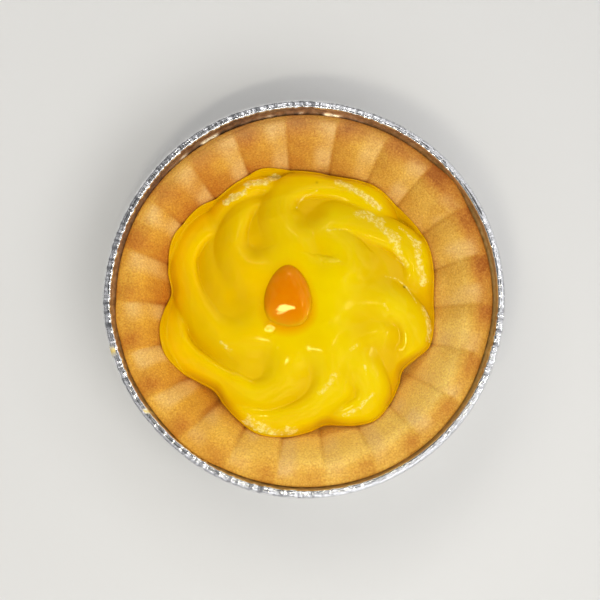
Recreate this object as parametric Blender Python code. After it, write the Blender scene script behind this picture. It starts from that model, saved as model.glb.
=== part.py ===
"""Lemon tart in a foil cup.

A fluted pastry shell stands in a thin aluminium foil cup. It is filled with lemon curd piped as
a swirl of nine overlapping ropes, and an orange gel drop sits in the middle of the swirl.
Sizes below are millimetres. Bearings are degrees clockwise from +Y, seen from above.
"""

import bpy
import numpy as np

MM = 0.001

# Foil cup: outline of the wall's section, (radius, height), from the middle of the underside
# round the rolled rim to the middle of the inside.
FOIL_SECTION = (
    (18.4, 0.8), (19.8, 0.0), (26.2, 0.0), (27.3, 0.7), (39.7, 18.2), (40.8, 19.6), (41.3, 20.2),
    (42.0, 20.4), (42.1, 21.0), (41.5, 21.5), (40.8, 21.2), (40.45, 20.5), (40.3, 19.75),
    (39.2, 18.35), (26.95, 1.05), (26.0, 0.45), (20.0, 0.45), (18.55, 1.25),
)
FOIL_COLUMNS = 72
PANEL_UNDER = 0.8
PANEL_TOP = 1.25
# Dents in the rolled rim: (bearing, depth, spread); a depth below zero is a swelling.
RIM_DENTS = ((20, 0.15, 9), (222, 0.3, 12), (268, -0.3, 7), (305, 0.2, 12))
DENT_FOOT = 18.4
DENT_TOP = 20.2

# Pastry shell.
SHELL_UNDER = 1.6
SHELL_OUTSIDE = ((26.2, 1.6), (27.3, 2.2), (38.6, 18.05), (39.0, 18.75))
SHELL_RIM = ((39.25, 19.4), (38.6, 20.0), (37.2, 20.35))
SHELL_ROWS = (36.0, 34.8, 33.4, 31.8, 30.2, 28.8, 27.6, 26.5, 25.5, 24.5, 23.0, 20.5)
# Height of the pastry's upper face against radius.
CRUST_RADII = (0.0, 21.5, 24.2, 25.8, 27.4, 29.2, 31.2, 33.2, 35.0, 36.6, 38.0, 38.8, 39.2)
CRUST_HEIGHTS = (5.2, 5.2, 5.6, 7.2, 9.8, 12.9, 16.0, 18.6, 20.0, 20.3, 20.0, 19.5, 18.5)
PLEATS = 22
COLUMNS_A_PLEAT = 5
# Turn of the pleats from an even spacing, in degrees: mean, then cosine and sine of one and two
# turns of the bearing.
PLEAT_DRIFT = (9.39, 0.56, 1.85, 0.6, 0.2)
PLEAT_RADII = (24.5, 27.5, 31.0, 34.0, 36.5, 38.6)
PLEAT_DEPTHS = (0.0, 1.3, 1.5, 1.1, 0.6, 0.15)
# Unevenness of the pastry's outer edge: (bearing, step outward, spread).
EDGE_BULGES = ((52, 0.35, 5), (217, 0.2, 4), (247, 0.2, 5), (263, 0.3, 4), (335, -0.5, 25))

# Lemon curd.
SWIRL_AXIS = (-1.21, -0.67)
# Every rope's crest follows one dome (DOME_HEIGHTS at DOME_RADII from the swirl's axis); its
# section falls away from that dome.
DOME_RADII = (0.0, 4.0, 8.0, 12.5, 18.3, 22.8, 26.0, 28.5)
DOME_HEIGHTS = (22.1, 22.2, 22.2, 21.9, 20.2, 18.0, 16.2, 15.3)
ROPE_RADII = (4.0, 8.0, 12.5, 18.3, 22.8, 26.0)
ROPE_HALF_WIDTHS = (4.0, 4.4, 4.5, 4.1, 3.5, 3.4)
ROPE_RISES = (0.3, 0.8, 1.3, 1.9, 2.4, 2.8)
ROUND_RADII = (15.0, 24.0)
ROUNDS = (1.0, 0.5)
FALLS = (1.0, 4.0)
ROPE_LEAN = 0.1
# Each rope: its breadth, then its crest from the middle outwards as (radius, bearing, lift).
ROPES = (
    (1.05, (8.4, 357, 0), (12.4, 356, 0), (15.8, 351, 0), (19, 348, 0), (22.3, 351, 0),
     (24.5, 357, 0), (25.8, 8, 0), (26.5, 20, 0.2), (26.8, 31, 0.3), (25.8, 41, -0.6),
     (23.6, 50, -3)),
    (1.1, (6, 56, 0), (8.7, 57, 0), (12.5, 56, -0.1), (14.6, 45, -0.1), (15.3, 33, -0.1),
     (16.6, 23, -0.2), (19.6, 28, 0.1), (22.2, 45, 0.2), (24.9, 57, 0.4), (26.7, 68, 0.5),
     (26.3, 78, -0.4), (24.4, 88, -3)),
    (1.1, (6, 87, -0.8), (10, 89, -1), (14.4, 89, -0.9), (18.8, 91, -0.3), (22.2, 95, 0),
     (24.8, 101, 0), (26.2, 109, 0), (25.9, 117, -0.8), (24.4, 125, -3)),
    (1.1, (7.5, 135, -0.5), (12.1, 135, -0.8), (16.4, 138, -0.6), (20.5, 138, -0.2), (24.1, 140, 0),
     (26.2, 146, 0), (26.8, 153, 0), (26, 162, -0.8), (24, 170, -3)),
    (1.05, (7, 153, 0), (10.5, 152, 0), (15.3, 154, 0), (19.3, 161, 0), (22.4, 171, 0),
     (24.6, 183, 0), (26, 194, 0), (26.6, 204, 0), (26, 213, -0.8), (24, 223, -3)),
    (1.0, (7, 202, 0), (10.8, 193, 0), (15, 191, 0), (19.3, 196, 0), (22, 206, 0), (23, 220, 0),
     (24.6, 234, 0.4), (26.4, 244, 1.2), (27.3, 252, 1.4), (27, 260, 0), (25, 270, -3)),
    (0.95, (7.2, 233, 0), (11.9, 234, 0), (15.6, 240, 0), (18.7, 251, 0), (20.9, 263, 0),
     (23, 274, 0.2), (25, 284, 0.7), (26.3, 292, 1.0), (26.4, 301, 0.8), (25.6, 310, 0),
     (24, 318, -3)),
    (0.7, (13.2, 273, -2), (15.9, 277, -1.6), (18.6, 285, -1.4), (21.4, 297, -1.5),
     (23.4, 306, -1.4), (25.3, 317, -0.8), (26.4, 327, -0.3), (26.8, 337, 0), (26, 346, -0.8),
     (24.2, 355, -3)),
    (0.85, (7, 305, 0), (10.3, 303, 0), (13.9, 303, 0.1), (17.4, 308, 0.3), (20, 316, 0.4),
     (22.2, 325, 0.2), (23.6, 332, -0.5), (24.2, 340, -1.5), (24.2, 349, -3)),
)
# Small hollows and swellings: (bearing, radius, reach, depth).
HOLLOWS = (
    (322, 14.6, 1.8, 0.5), (0, 17.0, 1.5, 0.3), (28, 11.5, 2.2, 0.3), (71, 11.4, 1.3, 0.6),
    (271, 13.2, 1.8, 0.4), (341, 25.0, 1.8, 0.6), (152, 22.0, 2.6, -0.9), (219, 18.5, 3.0, -0.4),
    (10, 19.3, 2.4, 0.7),
)
CORE_RADII = (0.0, 4.0, 8.0, 12.0, 16.0, 20.0, 23.0, 25.5, 28.5)
CORE_HEIGHTS = (21.8, 21.6, 21.3, 20.7, 19.5, 17.7, 15.9, 14.2, 11.5)
BLEND_RADII = (6.0, 14.0, 20.0, 25.0)
BLENDS = (0.6, 0.5, 0.4, 0.3)
CURD_COLUMNS = 108
# Clearance under the curd, measured upward, as the pastry's face is steep there, and height of
# the curd's edge over the pastry.
CURD_LIFT = 0.55
CURD_LIP = 0.8
CURD_FLANK = 2.0
# Rings of the curd's upper face and of its underside, as parts of its outline.
CURD_ROWS = (
    0.99, 0.975, 0.95, 0.92, 0.885, 0.845, 0.795, 0.74, 0.685, 0.63, 0.57, 0.51, 0.445, 0.38,
    0.32, 0.255, 0.185, 0.115, 0.05,
)
CURD_UNDER_ROWS = (0.3, 0.74, 0.82, 0.86, 0.9, 0.95)
# How far the columns turn clockwise toward the outline, in degrees, to run with the ropes.
TWIST_SHARES = (0.0, 0.5, 0.65, 0.8, 0.9, 1.0)
TWISTS = (0.0, 0.0, 6.0, 20.0, 30.0, 36.0)
# Where the curd meets the crust: radius from the swirl's axis, each way.
OUTLINE_BEARINGS = (
    -8, 0, 9, 18, 31, 49, 62, 74, 86, 98, 108, 116, 122, 128, 137, 147, 155, 162, 168, 175, 185,
    198, 208, 218, 224, 231, 238, 249, 259, 268, 275, 283, 297, 306, 315, 323, 333, 344, 352, 360,
    369,
)
OUTLINE_RADII = (
    29.5, 28.9, 28.8, 28.9, 30.1, 29.9, 30.4, 29.9, 28.9, 29.1, 29.2, 27.3, 26.3, 27.2, 28.6,
    29.5, 28.5, 27.1, 26.3, 27.2, 28.3, 28.9, 27.7, 26.5, 25.8, 26.8, 28.5, 30.2, 29.8, 28.4,
    27.2, 28.5, 30.0, 29.8, 29.5, 28.8, 29.3, 30.0, 29.5, 28.9, 28.8,
)

# Orange gel drop: an egg whose narrow end points to +Y, sunk in a dimple of the curd.
DROP_CENTRE = (-3.46, 0.33)
DROP_HALF_WIDTH = 4.95
DROP_HALF_LENGTH = 6.1
DROP_NARROWING = 0.3
DROP_HEIGHT = 3.6
DROP_LIFT = 0.42
DIMPLE_DEPTH = 1.5
DIMPLE_REACH = 1.12
DROP_COLUMNS = 24
DROP_ROWS = (0.35, 0.65, 0.85, 0.96)


def spline(place, values):
    """Catmull-Rom curve through values at the whole numbers of place."""
    v = np.asarray(values, float)
    v = np.concatenate([[2 * v[0] - v[1]], v, [2 * v[-1] - v[-2]]])
    k = np.clip(np.asarray(place).astype(int), 0, len(v) - 4)
    f = place - k
    a, b, c, d = v[k], v[k + 1], v[k + 2], v[k + 3]
    return 0.5 * (2 * b + (c - a) * f + (2 * a - 5 * b + 4 * c - d) * f**2 + (3 * b - a - 3 * c + d) * f**3)


def curve(x, stations, values):
    """Smooth curve through (stations, values), read at x."""
    return spline(np.interp(x, stations, np.arange(len(stations))), values)


def bump(bearing, centre, spread):
    """Bell of height 1 round a bearing, in degrees."""
    away = (np.degrees(bearing) - centre + 180) % 360 - 180
    return np.exp(-0.5 * (away / spread) ** 2)


def pleat_drift(bearing):
    mean, c1, s1, c2, s2 = PLEAT_DRIFT
    return (
        mean + c1 * np.cos(bearing) + s1 * np.sin(bearing)
        + c2 * np.cos(2 * bearing) + s2 * np.sin(2 * bearing)
    )


def pleat_fold(bearing):
    """0 in a crease between two pleats, 1 on the middle of a pleat."""
    phase = (np.degrees(bearing) - pleat_drift(bearing)) * PLEATS / 360
    return np.abs(np.sin(np.pi * phase)) ** 0.65


def crust_height(x, y, fold=None):
    """Upper face of the pastry: the slope's curve, with creases cut between the pleats."""
    r = np.hypot(x, y)
    if fold is None:
        fold = pleat_fold(np.arctan2(x, y))
    depth = np.interp(r, PLEAT_RADII, PLEAT_DEPTHS)
    return curve(r, CRUST_RADII, CRUST_HEIGHTS) + depth * (fold - 0.65)


def rope_top(x, y, breadth, *stations):
    """Upper face of one rope: a section stood across the nearest place of its crest.

    The section is a parabola near the middle and half an ellipse near the edge: one less the
    square of (distance away / half width), to a power that falls from 1 to a half.
    """
    radii, bearings, lifts = np.transpose(stations)
    turned = np.unwrap(np.radians(bearings))

    def crest(place):
        r, b = spline(place, radii), spline(place, turned)
        return r * np.sin(b), r * np.cos(b)

    def gap(place):
        cx, cy = crest(place)
        return (x - cx) ** 2 + (y - cy) ** 2

    last = len(radii) - 1.0
    nearest = np.full(x.shape, np.inf)
    place = np.zeros(x.shape)
    for s in np.linspace(0, last, 65):
        d = gap(np.array(s))
        place = np.where(d < nearest, s, place)
        nearest = np.minimum(d, nearest)
    for step in (0.12, 0.06, 0.03):
        before, here, after = gap(place - step), gap(place), gap(place + step)
        bend = np.maximum(before - 2 * here + after, 1e-9)
        move = 0.5 * step * (before - after) / bend
        place = np.clip(place + np.clip(move, -step, step), 0, last)
    cx, cy = crest(place)
    fx, fy = crest(place + step)
    ux, uy = x - cx, y - cy
    across = np.hypot(ux, uy)
    along = np.hypot(fx - cx, fy - cy)
    side = ((fx - cx) * uy - (fy - cy) * ux) / (along * np.maximum(across, 1e-6))
    r = spline(place, radii)
    width = breadth * curve(r, ROPE_RADII, ROPE_HALF_WIDTHS) * (1 + ROPE_LEAN * side)
    inside = 1 - (across / width) ** 2
    roundness = np.interp(r, ROUND_RADII, ROUNDS)
    fall = np.interp(r, ROUND_RADII, FALLS)
    section = np.maximum(inside, 0) ** roundness + fall * np.minimum(inside, 0)
    dome = curve(np.minimum(np.hypot(x, y), 28.5), DOME_RADII, DOME_HEIGHTS)
    top = dome + spline(place, lifts) + curve(r, ROPE_RADII, ROPE_RISES) * (section - 1)
    return np.maximum(top, -40.0)


def egg_reach(x, y):
    """Distance from the drop's centre over the egg's radius that way: 1 on its outline."""
    u = (x - DROP_CENTRE[0]) / DROP_HALF_WIDTH
    v = (y - DROP_CENTRE[1]) / DROP_HALF_LENGTH
    return np.hypot(u / (1 - DROP_NARROWING * v), v)


def curd_height(x, y):
    """Upper face of the curd: the core and the ropes joined by a soft maximum, with a dimple."""
    u, v = x - SWIRL_AXIS[0], y - SWIRL_AXIS[1]
    r = np.hypot(u, v)
    blend = np.interp(r, BLEND_RADII, BLENDS)
    tops = [curve(r, CORE_RADII, CORE_HEIGHTS)] + [rope_top(u, v, *rope) for rope in ROPES]
    highest = np.max(tops, axis=0)
    joined = highest + blend * np.log(sum(np.exp((t - highest) / blend) for t in tops))
    for at, out, reach, depth in HOLLOWS:
        away = np.hypot(u - out * np.sin(np.radians(at)), v - out * np.cos(np.radians(at)))
        joined = joined - depth * np.exp(-((away / reach) ** 2))
    inside = np.maximum(1 - (egg_reach(x, y) / DIMPLE_REACH) ** 2, 0)
    return joined - DIMPLE_DEPTH * inside**1.5


def curd_outline(bearing):
    """Radius from the swirl's axis, each way, at which the curd comes down on the crust."""
    return curve(np.degrees(bearing) % 360, OUTLINE_BEARINGS, OUTLINE_RADII)


def curd_face(x, y):
    """Curd_height, rounded off in a quarter ellipse down to the lip near the outline."""
    u, v = x - SWIRL_AXIS[0], y - SWIRL_AXIS[1]
    r, bearing = np.hypot(u, v), np.arctan2(u, v)
    edge = curd_outline(bearing)
    lip = crust_height(
        SWIRL_AXIS[0] + edge * np.sin(bearing), SWIRL_AXIS[1] + edge * np.cos(bearing)
    ) + CURD_LIP
    share = np.clip((edge - r) / CURD_FLANK, 0, 1)
    height = np.maximum(curd_height(x, y), crust_height(x, y, 1.0) + CURD_LIP)
    return lip + (height - lip) * np.sqrt(share * (2 - share))


def ring(x, y, z):
    """One ring of points; z may be one height."""
    return np.stack([x, y, np.broadcast_to(z, x.shape)], axis=1)


def lathe(bearing, radius, height):
    return ring(radius * np.sin(bearing), radius * np.cos(bearing), height)


def turns(count):
    return np.arange(count) * 2 * np.pi / count


def body(name, first, rings, last, colour, roughness, metallic):
    """Closed body: a pole, rings of points joined by triangles, and a pole."""
    count = len(rings[0])
    points = np.concatenate([[first]] + rings + [[last]]) * MM
    k = np.arange(count)
    n = (k + 1) % count
    faces = [np.stack([np.zeros(count, int), 1 + k, 1 + n], 1)]
    for row in range(len(rings) - 1):
        a = 1 + row * count + k
        b = 1 + row * count + n
        c, d = b + count, a + count
        short = (
            np.linalg.norm(points[a] - points[c], axis=1)
            <= np.linalg.norm(points[b] - points[d], axis=1)
        )[:, None]
        faces.append(np.where(short, np.stack([a, c, b], 1), np.stack([a, d, b], 1)))
        faces.append(np.where(short, np.stack([a, d, c], 1), np.stack([b, d, c], 1)))
    base = 1 + (len(rings) - 1) * count
    faces.append(np.stack([np.full(count, len(points) - 1), base + n, base + k], 1))
    mesh = bpy.data.meshes.new(name)
    mesh.from_pydata(points.tolist(), [], np.concatenate(faces).tolist())
    mesh.update()
    thing = bpy.data.objects.new(name, mesh)
    bpy.context.collection.objects.link(thing)
    material = bpy.data.materials.new(name)
    material.use_nodes = True
    shader = material.node_tree.nodes["Principled BSDF"]
    shader.inputs["Base Color"].default_value = (*colour, 1.0)
    shader.inputs["Roughness"].default_value = roughness
    shader.inputs["Metallic"].default_value = metallic
    mesh.materials.append(material)
    return thing


def foil_cup():
    bearing = turns(FOIL_COLUMNS)
    rings = []
    for radius, height in FOIL_SECTION:
        share = np.clip((height - DENT_FOOT) / (DENT_TOP - DENT_FOOT), 0, 1)
        dent = sum(depth * bump(bearing, at, spread) for at, depth, spread in RIM_DENTS)
        rings.append(lathe(bearing, radius - share * dent, height))
    body("foil_cup", (0, 0, PANEL_UNDER), rings, (0, 0, PANEL_TOP), (0.82, 0.82, 0.83), 0.28, 1.0)


def pastry_shell():
    even = turns(PLEATS * COLUMNS_A_PLEAT)
    bearing = even
    for _ in range(8):
        bearing = even + np.radians(pleat_drift(bearing))
    bulge = sum(step * bump(bearing, at, spread) for at, step, spread in EDGE_BULGES)
    rings = [lathe(bearing, radius, height) for radius, height in SHELL_OUTSIDE]
    for radius, height in SHELL_RIM:
        out = radius + bulge * (radius - 34) / 5
        rings.append(lathe(bearing, out, height))
    for radius in SHELL_ROWS:
        x, y = radius * np.sin(bearing), radius * np.cos(bearing)
        rings.append(ring(x, y, crust_height(x, y)))
    floor = (0, 0, CRUST_HEIGHTS[0])
    body("pastry_shell", (0, 0, SHELL_UNDER), rings, floor, (0.66, 0.36, 0.12), 0.75, 0.0)


def lemon_curd():
    even = turns(CURD_COLUMNS)
    cx, cy = SWIRL_AXIS

    def at(share):
        bearing = even + np.radians(curve(share, TWIST_SHARES, TWISTS))
        radius = share * curd_outline(bearing)
        return cx + radius * np.sin(bearing), cy + radius * np.cos(bearing)

    rings = []
    for share in CURD_UNDER_ROWS + (1.0,):
        x, y = at(share)
        rings.append(ring(x, y, crust_height(x, y) + CURD_LIFT))
    x, y = at(0.998)
    rings.append(ring(x, y, crust_height(x, y) + CURD_LIP))
    for share in CURD_ROWS:
        x, y = at(share)
        rings.append(ring(x, y, curd_face(x, y)))
    under = (cx, cy, CRUST_HEIGHTS[0] + CURD_LIFT)
    axis = np.array(SWIRL_AXIS)
    over = (cx, cy, float(curd_height(axis[:1], axis[1:])[0]))
    body("lemon_curd", under, rings, over, (0.85, 0.58, 0.01), 0.25, 0.0)


def orange_gel_drop():
    bearing = turns(DROP_COLUMNS)
    # Radius of the egg's outline each way, by stepping to where egg_reach is 1.
    radius = np.full(DROP_COLUMNS, DROP_HALF_WIDTH)
    cx, cy = DROP_CENTRE
    for _ in range(40):
        radius = radius / egg_reach(cx + radius * np.sin(bearing), cy + radius * np.cos(bearing))

    def at(share):
        return cx + share * radius * np.sin(bearing), cy + share * radius * np.cos(bearing)

    def under(x, y):
        return curd_height(x, y) + DROP_LIFT

    rings = []
    for share in DROP_ROWS + (1.0,):
        x, y = at(share)
        rings.append(ring(x, y, under(x, y)))
    middle = np.array(DROP_CENTRE)
    seat = float(under(middle[:1], middle[1:])[0])
    x, y = at(1.0)
    edge = under(x, y) + 0.3
    for share in DROP_ROWS[::-1]:
        x, y = at(share)
        dome = np.sqrt(1 - share**2)
        rings.append(ring(x, y, edge * (1 - dome) + (seat + DROP_HEIGHT) * dome))
    top = (cx, cy, seat + DROP_HEIGHT)
    body("orange_gel_drop", (cx, cy, seat), rings, top, (0.85, 0.22, 0.01), 0.15, 0.0)


for thing in list(bpy.data.objects):
    bpy.data.objects.remove(thing, do_unlink=True)
foil_cup()
pastry_shell()
lemon_curd()
orange_gel_drop()
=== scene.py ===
"""Lemon tart in a foil cup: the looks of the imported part.

Four detailed surfaces stand for the four solids: crimped foil, sandy browned pastry, glossy piped
curd and an orange gel drop. Shapes are worked out in millimetres with bearings clockwise
from +Y, seen from above, and put into meshes in metres.
"""

import bpy
import numpy as np
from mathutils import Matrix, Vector


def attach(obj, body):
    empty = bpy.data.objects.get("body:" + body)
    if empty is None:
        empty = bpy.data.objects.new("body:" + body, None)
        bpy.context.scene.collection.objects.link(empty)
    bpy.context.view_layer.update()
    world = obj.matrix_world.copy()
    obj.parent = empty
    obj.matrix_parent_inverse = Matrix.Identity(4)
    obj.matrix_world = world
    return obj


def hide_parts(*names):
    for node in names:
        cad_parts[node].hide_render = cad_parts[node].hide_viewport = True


MM = 0.001
TURN = 2 * np.pi

# Foil cup: the middle of the foil sheet in section, (radius, height), from the centre of the
# base out to the curled end of the rim.
FOIL_LINE = (
    (10.0, 0.86), (17.6, 0.86), (18.7, 0.72), (19.5, 0.2), (20.3, 0.06), (23.0, 0.06),
    (25.6, 0.06), (26.6, 0.25), (27.35, 0.9), (30.4, 5.2), (33.4, 9.45), (36.5, 13.8),
    (39.05, 17.4), (39.45, 18.3), (40.1, 19.25), (40.34, 19.95), (40.38, 20.65), (40.46, 21.12),
    (40.68, 21.3), (41.2, 21.18), (41.7, 20.96), (41.95, 20.65), (41.8, 20.35), (41.4, 20.3),
)
# Rings from each station of the line to the next.
FOIL_STEPS = (1, 1, 1, 1, 1, 1, 1, 2, 2, 2, 2, 4, 3, 6, 3, 2, 3, 4, 7, 5, 3, 2, 2)
# The stations beside the pastry.
FOIL_WALL = FOIL_LINE[8:18]
FOIL_THICKNESS = 0.11
FOIL_COLUMNS = 800
# Places round the tart are given as (bearing, amount, spread), each a bell of the bearing.
# Dents of the rim, with the heights at which they start and are whole.
RIM_DENTS = ((20, 0.15, 9), (222, 0.3, 12), (268, -0.3, 7), (305, 0.2, 12))
DENT_FOOT = 18.4
DENT_TOP = 20.2
# Crimps across the rim: how many, their least and greatest depth and spread, and where they
# are strongest.
CRIMPS = 240
CRIMP_DEPTHS = (0.04, 0.36)
CRIMP_SPREADS = (0.24, 0.5)
CRIMPED = (
    (6, 1, 16), (105, 1, 8), (192, 1, 12), (262, 1, 12), (284, 1, 16), (305, 1, 10), (342, 1, 14),
)
# Dashed groove along the rim.
GROOVED = ((60, 1, 14), (203, 1, 9), (236, 1, 9), (315, 1, 13))
GROOVE_RADIUS = 40.97
GROOVE_WIDTH = 0.1
GROOVE_DEPTH = 0.22
# Wrinkles of the ledge inside the rim.
WRINKLED = ((330, 1, 16), (6, 1, 9), (146, 0.6, 12))
LEDGE_RADIUS = 39.6
LEDGE_WIDTH = 0.18
LEDGE_DEPTH = 0.45
# Folds of the wall, and the waves that shift them: (waves round the cup, amount).
WALL_FOLDS = 96
WALL_WAVES = ((2, 0.5), (3, 0.6), (5, 0.5), (9, 0.35), (14, 0.3))
FOLD_DEPTH = 0.3
# How far the folded wall stands outside its line, and the depth of small crumples all over it.
WALL_SWELL = 0.14
CRUMPLE = 0.05

# Pastry shell: its outside in section, (radius, height), and the rings between its stations.
SHELL_OUTSIDE = (
    (8.0, 1.6), (18.0, 1.6), (26.2, 1.6), (27.3, 2.2), (31.0, 7.4), (34.8, 12.7), (38.45, 17.8),
    (39.1, 18.5), (39.5, 19.15), (39.15, 19.7), (38.3, 20.1), (37.3, 20.3),
)
SHELL_STEPS = (1, 1, 2, 3, 4, 5, 5, 5, 6, 6, 5)
# The last rings of that line, which are seen from above.
SHELL_RIM_RINGS = 12
# Least room to the foil, and how much more there is at the ledge's wrinkles.
SHELL_GAP = 0.15
WRINKLE_ROOM = 0.35
# Upper face of the crust, by radius, without its pleats.
CRUST_RADII = (0.0, 21.5, 24.2, 25.8, 27.4, 29.2, 31.2, 33.2, 35.0, 36.6, 38.0, 38.8, 39.2)
CRUST_HEIGHTS = (5.2, 5.2, 5.6, 7.2, 9.8, 12.9, 16.0, 18.6, 20.0, 20.3, 20.0, 19.5, 18.5)
PLEATS = 22
COLUMNS_A_PLEAT = 28
# Degrees by which the creases stray from even spacing: everywhere, then by the cosine and the
# sine of the bearing and of twice the bearing.
PLEAT_DRIFT = (9.39, 0.56, 1.85, 0.6, 0.2)
# Depth of the pleats by radius, and the part of a pleat's fold that lies below the crust's face.
PLEAT_RADII = (24.5, 27.5, 31.0, 34.0, 36.5, 38.6)
PLEAT_DEPTHS = (0.0, 1.3, 1.5, 1.1, 0.6, 0.15)
PLEAT_BELOW = 0.65
EDGE_BULGES = (
    (52, 0.8, 5), (150, 0.4, 22), (216, 0.9, 5), (235, 0.15, 40), (247, 0.2, 5), (263, 0.4, 4),
    (300, 0.2, 10), (338, -0.85, 26), (15, -0.2, 12), (108, -0.5, 6),
)
# Layers of noise: (amount, size of its lumps, seed).
LUMPS = ((0.12, 3.2, 11), (0.05, 1.3, 12), (0.04, 0.6, 13))
BLOTCHES = ((0.45, 5.0, 21), (0.2, 2.2, 22), (0.1, 1.0, 23))
# Where the crust is browner, or paler, than the rest: on its outer and inner part and all over.
BROWN_OUTSIDE = ((55, 0.45, 45), (250, 0.12, 35), (340, 0.12, 40))
BROWN_INSIDE = ((325, 0.2, 42), (75, 0.15, 25), (215, 0.12, 25), (145, -0.36, 48), (140, -0.08, 50))
BROWN_ALL = ((185, -0.14, 38),)

# Lemon curd.
SWIRL_AXIS = (-1.21, -0.67)
# Every rope's crest follows one dome (DOME_HEIGHTS at DOME_RADII from the swirl's axis); its
# section falls away from that dome.
DOME_RADII = (0.0, 4.0, 8.0, 12.5, 18.3, 22.8, 26.0, 28.5)
DOME_HEIGHTS = (22.1, 22.2, 22.2, 21.9, 20.2, 18.0, 16.2, 15.3)
DOME_EDGE = 28.5
# Half width and rise of a rope's section by radius, and how much wider it is on its outer side.
ROPE_RADII = (4.0, 8.0, 12.5, 18.3, 22.8, 26.0)
ROPE_HALF_WIDTHS = (4.0, 4.4, 4.5, 4.1, 3.5, 3.4)
ROPE_RISES = (0.3, 0.8, 1.3, 1.9, 2.4, 2.8)
ROPE_LEAN = 0.1
# A rope's section changes between two radii: the power that rounds it, and how steeply it goes on
# falling beyond its edge.
ROUND_RADII = (15.0, 24.0)
ROUNDS = (1.0, 0.5)
FALLS = (1.0, 4.0)
# Height below which a rope no longer counts.
ROPE_FLOOR = -40.0
# Each rope: its breadth, then its crest from the middle outwards as (radius, bearing, lift).
ROPES = (
    (1.05, (8.4, 357, 0), (12.4, 356, 0), (15.8, 351, 0), (19, 348, 0), (22.3, 351, 0),
     (24.5, 357, 0), (25.8, 8, 0), (26.5, 20, 0.2), (26.8, 31, 0.3), (25.8, 41, -0.6),
     (23.6, 50, -3)),
    (1.1, (6, 56, 0), (8.7, 57, 0), (12.5, 56, -0.1), (14.6, 45, -0.1), (15.3, 33, -0.1),
     (16.6, 23, -0.2), (19.6, 28, 0.1), (22.2, 45, 0.2), (24.9, 57, 0.4), (26.7, 68, 0.5),
     (26.3, 78, -0.4), (24.4, 88, -3)),
    (1.1, (6, 87, -0.8), (10, 89, -1), (14.4, 89, -0.9), (18.8, 91, -0.3), (22.2, 95, 0),
     (24.8, 101, 0), (26.2, 109, 0), (25.9, 117, -0.8), (24.4, 125, -3)),
    (1.1, (7.5, 135, -0.5), (12.1, 135, -0.8), (16.4, 138, -0.6), (20.5, 138, -0.2), (24.1, 140, 0),
     (26.2, 146, 0), (26.8, 153, 0), (26, 162, -0.8), (24, 170, -3)),
    (1.05, (7, 153, 0), (10.5, 152, 0), (15.3, 154, 0), (19.3, 161, 0), (22.4, 171, 0),
     (24.6, 183, 0), (26, 194, 0), (26.6, 204, 0), (26, 213, -0.8), (24, 223, -3)),
    (1.0, (7, 202, 0), (10.8, 193, 0), (15, 191, 0), (19.3, 196, 0), (22, 206, 0), (23, 220, 0),
     (24.6, 234, 0.4), (26.4, 244, 1.2), (27.3, 252, 1.4), (27, 260, 0), (25, 270, -3)),
    (0.95, (7.2, 233, 0), (11.9, 234, 0), (15.6, 240, 0), (18.7, 251, 0), (20.9, 263, 0),
     (23, 274, 0.2), (25, 284, 0.7), (26.3, 292, 1.0), (26.4, 301, 0.8), (25.6, 310, 0),
     (24, 318, -3)),
    (0.7, (13.2, 273, -2), (15.9, 277, -1.6), (18.6, 285, -1.4), (21.4, 297, -1.5),
     (23.4, 306, -1.4), (25.3, 317, -0.8), (26.4, 327, -0.3), (26.8, 337, 0), (26, 346, -0.8),
     (24.2, 355, -3)),
    (0.85, (7, 305, 0), (10.3, 303, 0), (13.9, 303, 0.1), (17.4, 308, 0.3), (20, 316, 0.4),
     (22.2, 325, 0.2), (23.6, 332, -0.5), (24.2, 340, -1.5), (24.2, 349, -3)),
)
# Small hollows and swellings: (bearing, radius, reach, depth).
HOLLOWS = (
    (322, 14.6, 1.8, 0.5), (0, 17.0, 1.5, 0.3), (28, 11.5, 2.2, 0.3), (71, 11.4, 1.6, 0.12),
    (271, 13.2, 1.8, 0.4), (341, 25.0, 1.8, 0.6), (152, 22.0, 2.6, -0.9), (219, 18.5, 3.0, -0.4),
    (10, 19.3, 2.4, 0.7), (111, 19.0, 2.8, -1.0), (122, 16.0, 2.4, -0.4),
)
# Height of the core under the ropes, by radius.
CORE_RADII = (0.0, 4.0, 8.0, 12.0, 16.0, 20.0, 23.0, 25.5, 28.5)
CORE_HEIGHTS = (21.8, 21.6, 21.3, 20.7, 19.5, 17.7, 15.9, 14.2, 11.5)
# How softly core and ropes run into each other, by radius.
BLEND_RADII = (6.0, 14.0, 20.0, 25.0)
BLENDS = (0.6, 0.5, 0.4, 0.3)
CURD_COLUMNS = 560
# The curd's edge: height of its lip on the crust, how softly the two run together, the width over
# which it rounds down to the lip, the share of the outline's radius at which it turns under, and
# how far it rolls out there.
CURD_LIP = 0.8
CURD_BLEND = 0.3
CURD_FLANK = 2.0
CURD_SHOULDER = 0.991
CURD_ROLL = 0.5
# How far its underside stands over the crust and its edge's foot is let into it.
CURD_LIFT = 0.3
CURD_SINK = 0.15
# Rings: shares of the outline's radius below, then how many above, close at the edge and even.
CURD_UNDER = (0.3, 0.6, 0.75, 0.82, 0.86, 0.9, 0.94, 0.97)
CURD_EDGE_RINGS = 34
CURD_TOP_RINGS = 116
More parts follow.
